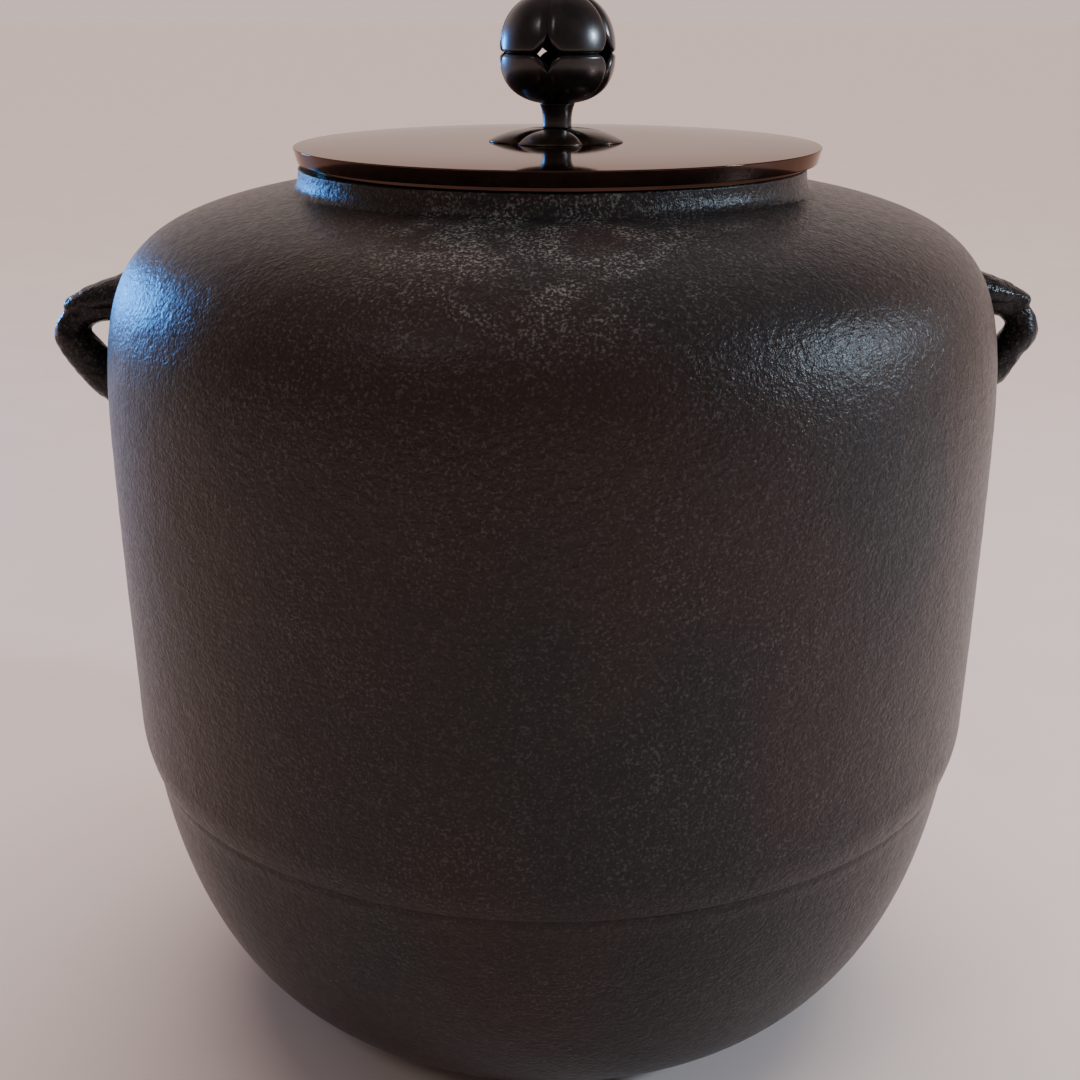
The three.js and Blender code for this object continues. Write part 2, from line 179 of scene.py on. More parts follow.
# %% Turn an outline into rings
def turned_rows(outline, columns, centre=0.0):
    """One ring of points for each point of the outline, about an upright axis at x = centre."""
    line = np.array(outline, float)
    angles = np.arange(columns) * 2 * math.pi / columns
    radius = np.repeat(line[:, :1], columns, axis=1)
    height = np.repeat(line[:, 1:], columns, axis=1)
    return np.stack([centre + radius * np.cos(angles), radius * np.sin(angles), height], axis=-1)


print("rings of a disc:", turned_rows([(0, 0), (5, 0)], 12).shape)

# %% [markdown]
# ## Hand-made surfaces
# Hand-worked clay is never quite true. A Displace modifier could push the surface about, but it pushes both
# ways, and a piece here must not grow past its plain one. So this helper only sinks points towards the
# axis.

# %% Lumps
HIGHEST_NOISE = 0.6
DEEPEST_NOISE = -1.4


def lumps(rows, size, amount, seed):
    """Sink points towards the axis by smooth noise of the given size, never outwards."""
    shift = Vector((seed, -seed, 2 * seed))
    flat = rows.reshape(-1, 3)
    values = np.array([noise.noise(Vector(p) / size + shift) for p in flat]) - HIGHEST_NOISE
    away = flat * np.array([1, 1, 0])
    length = np.linalg.norm(away, axis=1)
    off_axis = length > 1
    away[off_axis] /= length[off_axis][:, None]
    away[~off_axis] = 0
    return (flat + away * (np.clip(values, DEEPEST_NOISE, 0) * amount)[:, None]).reshape(rows.shape)


print("lumps sink points by at most", -DEEPEST_NOISE, "times the amount")

# %% [markdown]
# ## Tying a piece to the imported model
# A fine mesh has to move with the right body and hide the plain piece that it stands for. Parenting by hand
# would do that for one pose only, so the frame's own calls are used, in one place.

# %% Settle a piece
def settle(piece, node, body, finish):
    """Give a piece its material, its body and the plain node that it stands for."""
    piece.data.materials.clear()
    piece.data.materials.append(finish)
    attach(piece, body)
    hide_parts(node)
    print(f"{piece.name} replaces {node} and moves with the {body}")
    return piece

# %% [markdown]
# ## Writing finishes as sums
# A finish is a small program for colour and gloss. Wiring nodes by hand hides the sum that they work out,
# so this class wraps one output socket and lets Python's own operators add the Math nodes. Colours and
# vectors go through Mix and Vector Math, because a Math node would turn a colour grey.

# %% A socket that does arithmetic
class Wire:
    def __init__(self, tree, socket=None):
        self.tree = tree
        self.socket = socket

    def node(self, kind, settings, inputs, output=0):
        """Add one node: its settings first, then the value or link of each socket. Return one output."""
        made = self.tree.nodes.new(kind)
        for key, value in settings.items():
            setattr(made, key, value)
        for key, value in inputs.items():
            if isinstance(value, Wire):
                self.tree.links.new(value.socket, made.inputs[key])
            else:
                made.inputs[key].default_value = value
        return Wire(self.tree, made.outputs[output])

    def into(self, node, socket):
        """Link this wire to a socket of a node that is already there."""
        self.tree.links.new(self.socket, node.inputs[socket])

    def maths(self, operation, *values):
        return self.node("ShaderNodeMath", {"operation": operation}, dict(enumerate(values)))

    def __add__(self, other):
        return self.maths("ADD", self, other)

    def __radd__(self, other):
        return self.maths("ADD", other, self)

    def __sub__(self, other):
        return self.maths("SUBTRACT", self, other)

    def __rsub__(self, other):
        return self.maths("SUBTRACT", other, self)

    def __mul__(self, other):
        return self.maths("MULTIPLY", self, other)

    def __rmul__(self, other):
        return self.maths("MULTIPLY", other, self)

    def ramp(self, low, high, start=0.0, end=1.0):
        """Carry the range low..high to start..end smoothly, and hold it there outside."""
        inputs = {"Value": self, "From Min": low, "From Max": high, "To Min": start, "To Max": end}
        return self.node("ShaderNodeMapRange", {"interpolation_type": "SMOOTHSTEP"}, inputs)

    def stretched(self, x, y, z):
        return self.node("ShaderNodeVectorMath", {"operation": "MULTIPLY"}, {0: self, 1: (x, y, z)})

    def part(self, axis):
        return self.node("ShaderNodeSeparateXYZ", {}, {0: self}, "XYZ".index(axis))

    def away_from(self, point):
        """Distance in millimetres from a point given in millimetres."""
        inputs = {0: self, 1: [length * MM for length in point]}
        return self.node("ShaderNodeVectorMath", {"operation": "DISTANCE"}, inputs, 1) * (1 / MM)

    def noise(self, size, detail=2.0, roughness=0.5, distortion=0.0):
        """Noise whose features are about `size` millimetres across."""
        inputs = {"Vector": self, "Scale": 1 / (size * MM), "Detail": detail, "Roughness": roughness}
        inputs["Distortion"] = distortion
        return self.node("ShaderNodeTexNoise", {}, inputs, "Fac")

    def mix(self, dark, light):
        """Blend two colours, each a Wire or (r, g, b), with this wire as the share from 0 to 1."""
        colours = [c if isinstance(c, Wire) else (*c, 1.0) for c in (dark, light)]
        return self.node("ShaderNodeMix", {"data_type": "RGBA"}, {0: self, 6: colours[0], 7: colours[1]}, 2)

    def raise_skin(self, shader, strength, depth):
        """Feed this wire to a shader as a bump. The depth is in millimetres."""
        inputs = {"Height": self, "Strength": strength, "Distance": depth * MM}
        self.node("ShaderNodeBump", {}, inputs).into(shader, "Normal")


# %% Start a finish
def new_finish(name, **constants):
    """A material with one Principled shader. Return it, the shader and the place coordinates in metres."""
    material = bpy.data.materials.new(name)
    material.use_nodes = True
    tree = material.node_tree
    shader = tree.nodes["Principled BSDF"]
    for key, value in constants.items():
        shader.inputs[key.replace("_", " ")].default_value = value
    place = Wire(tree).node("ShaderNodeTexCoord", {}, {}, "Object")
    print("finish:", name)
    return material, shader, place

# %% [markdown]
# ## Iron fresh from a clay mould
# The kettle's skin is the print of fine sand brushed on a clay mould: low wrinkled bumps of one to two
# millimetres, a little longer round the kettle than up it. Over them lies baked lacquer and iron oxide, a
# brown-black that wanders towards blue-grey, with a soft satin gloss. A scanned texture would repeat round
# the body, so noises of falling size give the bumps, a large one the wandering colour, and a very fine one
# the pale specks. On the front of the shoulder, where a cloth has rubbed for years, the specks crowd into a
# chalky drift.

# %% Iron skin
BROWN_LACQUER = (0.0250, 0.0160, 0.0140)
SLATE_LACQUER = (0.0150, 0.0140, 0.0148)
RUBBED_LACQUER = (0.042, 0.034, 0.031)
PALE_SPECK = (0.16, 0.15, 0.14)
DRIFT_CENTRE = (-8, -74, 218)


def iron_skin(name, tint=1.0, gloss=0.0, chalky=False):
    material, shader, place = new_finish(name, Specular_IOR_Level=0.17)
    lacquers = (BROWN_LACQUER, SLATE_LACQUER, RUBBED_LACQUER)
    brown, slate, rubbed = [[tint * c for c in colour] for colour in lacquers]
    wrinkles = place.stretched(1, 1, 1.35).noise(1.8, detail=2, roughness=0.55, distortion=0.3)
    sand = place.noise(0.85, detail=2, roughness=0.7)
    dimples = place.noise(7, detail=1)
    patches = place.noise(70, detail=2)
    ground = patches.ramp(0.4, 0.62).mix(brown, slate)
    worn = (wrinkles.ramp(0.45, 0.75) * 0.3).mix(ground, rubbed)
    specks = place.noise(0.7, detail=1).ramp(0.54, 0.70) * (0.14 + place.noise(25).ramp(0.35, 0.7) * 0.1)
    if chalky:
        drift = place.noise(9, detail=2).ramp(0.36, 0.62) * place.away_from(DRIFT_CENTRE).ramp(48, 14)
        specks = specks + drift * place.noise(0.7, detail=3, roughness=0.7).ramp(0.48, 0.64) * 0.8
    specks.mix(worn, PALE_SPECK).into(shader, "Base Color")
    (wrinkles.ramp(0.3, 0.7, 0.33, 0.25) + patches * 0.06 - gloss).into(shader, "Roughness")
    (wrinkles * 0.5 + sand * 0.45 + dimples * 0.5).raise_skin(shader, 1.0, 0.46)
    return material


IRON = iron_skin("Cast iron skin", chalky=True)
BOWL_IRON = iron_skin("Bowl iron")
LUG_IRON = iron_skin("Lug iron", tint=0.6, gloss=0.1)
PLATE_IRON = iron_skin("Sounding plate iron", tint=1.5)

# %% [markdown]
# ## Putty
# The seam and the sounding plates are bedded in lacquer putty, which dries to a dull brown-black with the
# grain of the iron powder that was mixed in. It is hardly seen, so one noise is enough for its colour, its
# gloss and its bumps alike.

# %% Putty
def iron_putty(name):
    material, shader, place = new_finish(name)
    grain = place.noise(1.1, detail=3, roughness=0.65)
    grain.ramp(0.35, 0.7).mix((0.018, 0.013, 0.011), (0.060, 0.042, 0.033)).into(shader, "Base Color")
    (grain * 0.25 + 0.62).into(shader, "Roughness")
    grain.raise_skin(shader, 0.8, 0.35)
    return material


PUTTY = iron_putty("Iron putty")

# %% [markdown]
# ## Three finishes of bronze
# The lid is polished like a mirror and stained a dark chestnut. The seat is the same metal, left satin. The
# stem and knob are stained almost black and buffed. Three separate materials would repeat each other, so
# one function makes all three: a dark stained metal under a thin clear coat, cloudy at a scale of
# centimetres, with faint fine scratches. `edge` tints what the metal mirrors at a low angle.

# %% Bronze
def stained_bronze(name, dark, light, gloss, coat, metallic, cloud, ripple, edge=(1, 1, 1)):
    material, shader, place = new_finish(name, Metallic=metallic, Coat_Weight=coat, Coat_Roughness=0.03,
                                         Specular_IOR_Level=0.9, Specular_Tint=(*edge, 1))
    clouds = place.noise(cloud, detail=3)
    polish = place.noise(0.8, detail=3, roughness=0.7)
    clouds.ramp(0.35, 0.65).mix(dark, light).into(shader, "Base Color")
    (clouds * 0.04 + polish * 0.04 + gloss).into(shader, "Roughness")
    (polish * 0.2 + place.noise(6, detail=1)).raise_skin(shader, ripple, 0.1)
    return material


LID_BRONZE = stained_bronze("Lid bronze", dark=(0.040, 0.022, 0.017), light=(0.065, 0.037, 0.029), gloss=0.03,
                            coat=0.04, metallic=0.95, cloud=30, ripple=0.02, edge=(0.72, 0.60, 0.54))
SEAT_BRONZE = stained_bronze("Seat bronze", dark=(0.035, 0.022, 0.016), light=(0.075, 0.046, 0.032),
                             gloss=0.28, coat=0.2, metallic=0.85, cloud=5, ripple=0.2)
KNOB_BRONZE = stained_bronze("Knob bronze", dark=(0.010, 0.006, 0.007), light=(0.022, 0.015, 0.014),
                             gloss=0.25, coat=0.12, metallic=0.5, cloud=4, ripple=0.3)

# %% [markdown]
# ## The upper casting
# Neck, shoulder and wall are one casting, 3.4 mm thick. It could be a solid of revolution with its inside
# cut away, but a boolean leaves poor faces. So one closed outline runs up the outside, over the mouth and
# down the inside, which is the outside moved in by the thickness. Two sets of lumps then sink the rings by
# tenths of a millimetre: broad ones, and flat ones that leave faint level ripples.

# %% Move an outline sideways
def offset(points, distance):
    """Move a line sideways, to the left of the way it runs."""
    line = np.array(points, float)
    along = np.gradient(line, axis=0)
    along /= np.linalg.norm(along, axis=1)[:, None]
    return [tuple(p) for p in line + distance * np.stack([-along[:, 1], along[:, 0]], axis=1)]


print("a level line moved up by 2:", offset([(0, 0), (5, 0)], 2))

# %% Kettle body
WALL = 3.4
WALL_FOOT = (112.15, 84)
SHOULDER_START = (BODY_RADIUS, 140)
LAP_RADIUS = 108.0
LAP_TOP = 90
MOUTH_RADIUS = 58.4
MOUTH_FOOT = 214.5
NECK_RADIUS = 63.0
NECK_FOOT_WIDTH = 2.2
FLAT_RIPPLES = np.array([1, 1, 4])

shoulder = bezier(SHOULDER_START, (BODY_RADIUS, 199.4), (112.3, 210.3), (62.1, 217.3), 90)
shoulder = [p for p in shoulder if p[0] > NECK_RADIUS + NECK_FOOT_WIDTH]
foot_turn = bezier((110.8, SEAM_HEIGHT + 0.6), (111.2, 77.6), (112.1, 80.8), WALL_FOOT, 10)
neck = bezier(shoulder[-1], (64.1, 217.1), (NECK_RADIUS, 218.2), (NECK_RADIUS, MOUTH_HEIGHT - 0.8), 14)
wall = refined([WALL_FOOT, SHOULDER_START], 2.0, closed=False)
outside = foot_turn + wall[1:] + shoulder[1:] + neck[1:]
inside = offset([WALL_FOOT, SHOULDER_START] + shoulder[1:], WALL)[1:]
inside = [p for p in inside if p[0] > MOUTH_RADIUS + 1.5][::-1]
mouth = rounded([outside[-1], (NECK_RADIUS, MOUTH_HEIGHT), (MOUTH_RADIUS, MOUTH_HEIGHT),
                 (MOUTH_RADIUS, MOUTH_FOOT)], 0.7, closed=False)
lap = [(LAP_RADIUS, LAP_TOP), (LAP_RADIUS, SEAM_HEIGHT), (110.2, SEAM_HEIGHT)]
body_outline = refined(outside + mouth[1:] + inside + lap, 2.0)

body_rows = lumps(turned_rows(body_outline, 320), 38, 0.16, seed=3.1)
body_rows = lumps(body_rows * FLAT_RIPPLES, 16, 0.07, seed=7.7) / FLAT_RIPPLES
settle(grid_piece("upper_casting", body_rows), "kettle_body", "kettle", IRON)

# %% [markdown]
# ## The lower casting
# The bowl is a second casting whose lip slides up inside the wall, as on kettles that have been given a new
# bottom. It stands about a millimetre inside the wall above it, which is the step that shows round the
# seam. It is turned like the upper casting. Its outline starts and ends on the axis, so it closes by
# itself.

# %% Kettle bottom
STEP_RADIUS = 109.7
LIP_OUTER, LIP_INNER, LIP_TOP = 107.2, 105.2, 87.0
BASE_RADIUS = 56
FLOOR_ROUNDING = 4

bowl = bezier((BASE_RADIUS, 0), (90.6, 0), (104.5, 34.8), (109.0, 70), 60)
step = rounded([bowl[-1], (STEP_RADIUS, 73.4), (STEP_RADIUS, SEAM_HEIGHT), (LIP_OUTER, SEAM_HEIGHT),
                (LIP_OUTER, LIP_TOP), (LIP_INNER, LIP_TOP), (LIP_INNER, 72.0)], 0.5, closed=False)
bowl_inside = [p for p in offset(bowl, WALL)[1:-2][::-1] if p[1] >= WALL]
bowl_floor = [(BASE_RADIUS - FLOOR_ROUNDING, WALL), (0, WALL)]
bottom_outline = refined([(0, 0)] + bowl + step[1:] + bowl_inside + bowl_floor, 2.4, closed=False)

bottom_rows = lumps(turned_rows(bottom_outline, 320), 34, 0.14, seed=11.3)
bottom = grid_piece("lower_casting", bottom_rows, closed_rows=False)
settle(bottom, "kettle_bottom", "kettle", BOWL_IRON)

# %% [markdown]
# ## The sealed seam
# Inside the kettle, the lip of the new bottom is sealed with lacquer putty mixed with iron powder. The bead
# is pushed in by finger, so its face is rounded and a little uneven. A bevelled curve could lie there too,
# but the bead fills a corner, so a quarter round is turned like the castings, with shorter lumps.

# %% Seam bead
bead_low, bead_high = box_mm("seam_filler")
bead_width = bead_high[2] - bead_low[2]
bead_face = [(bead_high[1] - bead_width * math.cos(a), bead_low[2] + bead_width * math.sin(a))
             for a in np.linspace(0, math.pi / 2, 12)]
bead_outline = refined([(bead_high[1], bead_low[2])] + bead_face, 0.8)
bead = grid_piece("seam_bead", lumps(turned_rows(bead_outline, 240), 5, 0.25, seed=4.2))
settle(bead, "seam_filler", "kettle", PUTTY)

# %% [markdown]
# ## Sounding plates
# Five small iron plates are stuck to the floor with the same putty, and steam caught under them makes the
# water sing. A smith cuts them from scrap casting, so each is a worn slab with soft corners. A bevelled box
# would be too true. One function stacks rounded-rectangle rings for both the plate and its bed, and noise
# makes every slab a different one.

# %% Slabs
CORNER_POWER = 5.0
WEAR = 0.03
WEAR_SIZE = 6


def slab_rows(half_length, half_breadth, low, high, edge, columns=72):
    """Rings of a slab with softened edges, from the middle of its underside to the middle of its top."""
    rings = [(0.0, low), (0.5, low), (1 - edge / half_breadth, low)]
    steps = np.linspace(0, math.pi / 2, 5)
    rings += [(1 - edge * (1 - math.sin(a)) / half_breadth, low + edge * (1 - math.cos(a))) for a in steps]
    rings += [(1 - edge * (1 - math.cos(a)) / half_breadth, high - edge * (1 - math.sin(a))) for a in steps]
    rings += [(share, high) for share in (0.75, 0.5, 0.25, 0.0)]
    angles = np.arange(columns) * 2 * math.pi / columns
    cos, sin = np.cos(angles), np.sin(angles)
    x = np.sign(cos) * np.abs(cos) ** (2 / CORNER_POWER) * half_length
    y = np.sign(sin) * np.abs(sin) ** (2 / CORNER_POWER) * half_breadth
    return np.array([np.stack([x * share, y * share, np.full(columns, z)], axis=1) for share, z in rings])


def place_slab(name, node, half_length, half_breadth, edge, seed, slot_name, finish):
    """Make one slab, wear its sides by noise, and lay it where its plain node lies."""
    low, high = box_mm(node)
    middle = (low + high) / 2
    rows = slab_rows(half_length, half_breadth, low[2], high[2], edge)
    shift = Vector((seed, 0, 0))
    shrink = [1 - WEAR * (1 + noise.noise(Vector(p) / WEAR_SIZE + shift)) for p in rows.reshape(-1, 3)]
    rows[..., :2] *= np.array(shrink).reshape(*rows.shape[:2], 1)
    turn = math.atan2(middle[1], middle[0]) + math.pi / 2
    x, y = rows[..., 0].copy(), rows[..., 1].copy()
    rows[..., 0] = middle[0] + x * math.cos(turn) - y * math.sin(turn)
    rows[..., 1] = middle[1] + x * math.sin(turn) + y * math.cos(turn)
    return settle(grid_piece(name, rows, closed_rows=False), node, "kettle", finish)

# %% Five beds and five plates
BED_SIZE = {"half_length": 13.5, "half_breadth": 8, "edge": 0.35}
PLATE_SIZE = {"half_length": 12, "half_breadth": 6.5, "edge": 0.7}

for number in range(1, 6):
    seed = 5.0 * number
    place_slab(f"bed_{number}", f"plate_bed_{number}", **BED_SIZE, seed=seed, slot_name="iron_putty",
               finish=PUTTY)
    place_slab(f"plate_{number}", f"sounding_plate_{number}", **PLATE_SIZE, seed=seed, slot_name="plate_iron",
               finish=PLATE_IRON)

# %% [markdown]
# ## Lugs
# The lugs hold the rings that lift a hot kettle. Each is shaped like a twig bent into a loop: a thick limb
# leaves the wall low down, bows outwards and comes back under a blunt upper arm. The maker rolled each by
# hand, and the left one came out thicker. Limbs of changing thickness are swept along smooth lines. A voxel
# remesh joins them the way wax runs together, smoothing rounds the joints, and noise leaves the mould's
# mark. A boolean join would keep hard creases where the limbs meet.

# %% Limbs: rows of [distance from the axis, height, radius]
RIGHT_LOOP = [(109.5, 164, 6.0), (113, 166.4, 5.5), (117.2, 169.4, 5.0), (120.5, 174.4, 4.9),
              (123.6, 180, 4.8), (120.0, 185.4, 4.0), (114, 187.6, 4.6), (109, 188.4, 4.8)]
LEFT_LOOP = [(108.7, 164.7, 7.0), (112.2, 167.1, 6.5), (116.5, 170.0, 5.9), (120.0, 174.7, 5.5),
             (123.3, 180.1, 5.1), (120.0, 185.2, 4.2), (114, 187.5, 4.7), (109, 188.3, 4.9)]
UPPER_ARM = [(107.6, 191.0, 5.3), (111.5, 190.3, 4.6), (116, 189.4, 3.9), (120, 188.4, 3.1),
             (122.8, 187.2, 2.6)]
LOOP_BREADTH, ARM_BREADTH = 1.0, 1.6


def smooth_stations(stations, parts=10):
    """Catmull-Rom curve through rows of numbers."""
    rows = np.array([stations[0]] + list(stations) + [stations[-1]], float)
    result = []
    for a, b, c, d in zip(rows, rows[1:], rows[2:], rows[3:]):
        for t in np.arange(parts) / parts:
            bend = (2 * a - 5 * b + 4 * c - d) * t ** 2 + (3 * b - a - 3 * c + d) * t ** 3
            result.append((2 * b + (c - a) * t + bend) / 2)
    return np.array(result + [rows[-1]])


def limb_rows(stations, breadth, columns=28):
    """Rings along a line in the plane y = 0, with a rounded cap at each end."""
    line = smooth_stations(stations)
    along = np.gradient(line[:, :2], axis=0)
    along /= np.linalg.norm(along, axis=1)[:, None]
    angles = np.arange(columns) * 2 * math.pi / columns
    caps = np.linspace(math.pi / 2, 0, 7)
    plan = [(0, -math.sin(a), math.cos(a)) for a in caps[:-1]]
    plan += [(i, 0.0, 1.0) for i in range(len(line))]
    plan += [(len(line) - 1, math.sin(a), math.cos(a)) for a in caps[::-1][1:]]
    rows = []
    for i, push, share in plan:
        x, z, radius = line[i]
        dx, dz = along[i]
        x, z = x + push * radius * dx, z + push * radius * dz
        across = share * radius * np.cos(angles)
        side = share * radius * breadth * np.sin(angles)
        rows.append(np.stack([x - dz * across, side, z + dx * across], axis=1))
    return rows


print("an arm is swept in", len(limb_rows(UPPER_ARM, ARM_BREADTH)), "rings")

# %% Melt the limbs into one skin
def melt_together(name, pieces, voxel, smoothing):
    """Join pieces, remesh them into one skin of small voxels, smooth it, and keep the result as a mesh."""
    joined = bmesh.new()
    for piece in pieces:
        joined.from_mesh(piece.data)
        bpy.data.objects.remove(piece)
    mesh = bpy.data.meshes.new(name)
    joined.to_mesh(mesh)
    joined.free()
    source = bpy.data.objects.new(name + "_source", mesh)
    bpy.context.scene.collection.objects.link(source)
    remesh = source.modifiers.new("Voxels", "REMESH")
    remesh.mode = "VOXEL"
    remesh.voxel_size = voxel * MM
    smooth = source.modifiers.new("Smooth", "SMOOTH")
    smooth.factor = 0.5
    smooth.iterations = smoothing
    made = source.evaluated_get(bpy.context.evaluated_depsgraph_get())
    result = bpy.data.meshes.new_from_object(made)
    bpy.data.objects.remove(source)
    return result


def pit_skin(mesh, size, depth, seed):
    """Sink the points of a mesh along their normals by noise, never outwards."""
    shift = Vector((seed, seed, -seed))
    normals = [vertex.normal.copy() for vertex in mesh.vertices]
    for vertex, normal in zip(mesh.vertices, normals):
        here = vertex.co / (size * MM) + shift
        vertex.co -= normal * (depth * MM * (0.5 + 0.5 * noise.noise(here)))

# %% Both lugs
def make_lug(name, node, loop, side):
    """Sweep, melt and roughen one lug. side is 1 for the right one and -1 for the left one."""
    limbs = [grid_piece("lug_loop", limb_rows(loop, LOOP_BREADTH), closed_rows=False),
             grid_piece("lug_arm", limb_rows(UPPER_ARM, ARM_BREADTH), closed_rows=False)]
    mesh = melt_together(name, limbs, voxel=0.4, smoothing=3)
    pit_skin(mesh, size=4.5, depth=0.7, seed=2.0)
    pit_skin(mesh, size=1.7, depth=0.3, seed=9.0)
    for vertex in mesh.vertices:
        vertex.co.x *= side
        vertex.co.y *= side
    return settle(finish_mesh(name, mesh), node, "kettle", LUG_IRON)


make_lug("lug_on_right", "right_lug", RIGHT_LOOP, 1)
make_lug("lug_on_left", "left_lug", LEFT_LOOP, -1)

# %% [markdown]
# ## Lid
# The lid is cast in bronze, turned true on a lathe, polished, and stained dark. A hair's breadth of crown
# keeps water from standing on it, and steepens towards the rim, where it draws in what the lid mirrors. Its
# edge leans in towards the mouth, a short flange keeps it from sliding off, and a narrow ring under the rim
# carries its weight. A cylinder with bevels would lack the crown, so the lid too is turned from an outline.

# %% Lid
HOLE_RADIUS = 3.1
LID_THICKNESS = 2.6
FLANGE_INNER, FLANGE_OUTER, FLANGE_DEPTH = 53.2, 56, 6
REST_INNER, REST_OUTER = 59.6, 61.5
EDGE_FOOT_RADIUS = 64.1
LID_GAP = 1.2
CROWN_POWER = 4.5

brim = MOUTH_HEIGHT
crown = [(LID_RADIUS * s, LID_RIM + LID_CROWN * (1 - s ** CROWN_POWER)) for s in np.arange(0.98, 0.1, -0.04)]
lid_outline = [(HOLE_RADIUS, brim + LID_THICKNESS), (FLANGE_INNER, brim + LID_THICKNESS),
               (FLANGE_INNER, brim - FLANGE_DEPTH), (FLANGE_OUTER, brim - FLANGE_DEPTH),
               (FLANGE_OUTER, brim + LID_GAP), (REST_INNER, brim + LID_GAP), (REST_INNER, brim),
               (REST_OUTER, brim), (REST_OUTER, brim + LID_GAP), (EDGE_FOOT_RADIUS, brim + LID_GAP),
               (LID_RADIUS, LID_RIM)] + crown + [(HOLE_RADIUS, LID_RIM + LID_CROWN)]
lid_outline = refined(rounded(lid_outline, 0.25), 2.5)
lid = grid_piece("lid_disc", turned_rows(lid_outline, 384, centre=LID_CENTRE))
settle(lid, "lid_plate", "lid", LID_BRONZE)

# %% [markdown]
# ## Five-petal seat
# The seat spreads the knob's pull over the lid. It is a small bronze flower: five puffed petals, parted by
# narrow creases. It could be sculpted from a disc, but then the creases would be only as sharp as the
# disc's faces are small. Here the rows run round the stem and follow the petals' outline more and more as
# they near the rim, and the columns crowd together at the creases.

# %% Petals seen from above
PETALS = 5
PETAL_CENTRE, PETAL_RADIUS = 7.8, 9.2
SEAT_TURN = math.radians(187.5)

half_petal = math.pi / PETALS
in_petal = half_petal * np.sin(np.linspace(-1, 1, 44, endpoint=False) * math.pi / 2)
petal_edge = PETAL_CENTRE * np.cos(in_petal)
petal_edge = petal_edge + np.sqrt(PETAL_RADIUS ** 2 - (PETAL_CENTRE * np.sin(in_petal)) ** 2)
seat_angles = np.concatenate([SEAT_TURN + 2 * half_petal * k + in_petal for k in range(PETALS)])
seat_edge = np.tile(petal_edge, PETALS)
seat_crease = np.tile(half_petal - np.abs(in_petal), PETALS)
print(f"seat reaches from {seat_edge.min():.1f} at a crease to {seat_edge.max():.1f} at a petal's tip")

# %% Seat
SEAT_TOP = 3.75
SLOPE_END = 17
CREASE_WIDTH, CREASE_DEPTH = 1.9, 0.8
PUFF, PUFF_WIDTH = 0.012, 8
RIM_ROUNDING = 0.25

slope = np.array(bezier((SLOPE_END, 0.95), (14.2, 2.3), (10.2, SEAT_TOP - 0.1), (4.6, SEAT_TOP), 40))[::-1]
seat_rings = []
for share in np.linspace(0, 1, 34) ** 0.8:
    radius = HOLE_RADIUS + (seat_edge - RIM_ROUNDING - HOLE_RADIUS) * share
    dome = np.interp(radius + (SLOPE_END - seat_edge) * share ** 3, slope[:, 0], slope[:, 1])
    to_crease = radius * np.sin(seat_crease)
    fade = np.clip((radius - 3) / 2.5, 0, 1)
    crease = CREASE_DEPTH * fade * np.clip(1 - to_crease / CREASE_WIDTH, 0, 1) ** 2
    puffed = PUFF * (PUFF_WIDTH - np.minimum(to_crease, PUFF_WIDTH))
    seat_rings.append((radius, LID_RIM + dome - crease - puffed))
foot = LID_RIM + LID_CROWN
rim_height = seat_rings[-1][1]
seat_rings.append((seat_edge - 0.05, rim_height * 0.6 + foot * 0.4))
seat_rings.append((seat_edge, rim_height * 0.25 + foot * 0.75))
seat_rings.append((seat_edge - 0.1, np.full_like(seat_edge, foot)))
seat_rings.append((np.full_like(seat_edge, HOLE_RADIUS), np.full_like(seat_edge, foot)))
seat_rows = []
for radius, height in seat_rings:
    x, y = LID_CENTRE + radius * np.cos(seat_angles), radius * np.sin(seat_angles)
    seat_rows.append(np.stack([x, y, height], axis=1))
settle(grid_piece("petal_seat", seat_rows), "knob_seat", "lid", SEAT_BRONZE)

# %% [markdown]
# ## Stem
# One turned stem holds the knob together. Its shank goes through the lower cup, the seat, the lid and the
# washer, and both ends are hammered over as rivet heads. Stacked cylinders would show their joints, so one
# outline carries both heads, the shank and the flared part that is seen.

# %% Stem
SHELL = 1.8
SHANK_RADIUS, RIVET_RADIUS, RIVET_HEIGHT = 2.9, 4.4, 1.3
WAIST, FLARE = 3.62, 4.45

lower_low = box_mm("knob_lower_cup")[0]
washer_low, washer_high = box_mm("rivet_washer")
stem_foot = LID_RIM + SEAT_TOP
stem_head = lower_low[2] + 0.2
cup_floor = stem_head + SHELL
dome_steps = np.linspace(0, math.pi / 2, 8)
low_head = [(RIVET_RADIUS * math.sin(a), washer_low[2] - RIVET_HEIGHT * math.cos(a)) for a in dome_steps]
high_head = [(RIVET_RADIUS * math.cos(a), cup_floor + RIVET_HEIGHT * math.sin(a)) for a in dome_steps]
flared = bezier((WAIST, stem_foot), (3.45, stem_foot + 2.2), (3.65, stem_foot + 4.4), (FLARE, stem_head), 16)
stem_outline = low_head + [(SHANK_RADIUS, washer_low[2]), (SHANK_RADIUS, stem_foot)] + flared
stem_outline += [(SHANK_RADIUS, stem_head), (SHANK_RADIUS, cup_floor)] + high_head
stem_rows = turned_rows(refined(stem_outline, 0.8, closed=False), 96, centre=LID_CENTRE)
stem = grid_piece("turned_stem", stem_rows, closed_rows=False)
settle(stem, "knob_stem", "lid", KNOB_BRONZE)

# %% [markdown]
# ## Washer under the lid
# The stem's lower end is hammered over a small bronze washer, which keeps the head from pulling through the
# thin lid. A flat ring would do for the shape, and a few shallow lumps are the hammer's marks on it.

# %% Washer
WASHER_RADIUS = 8.0

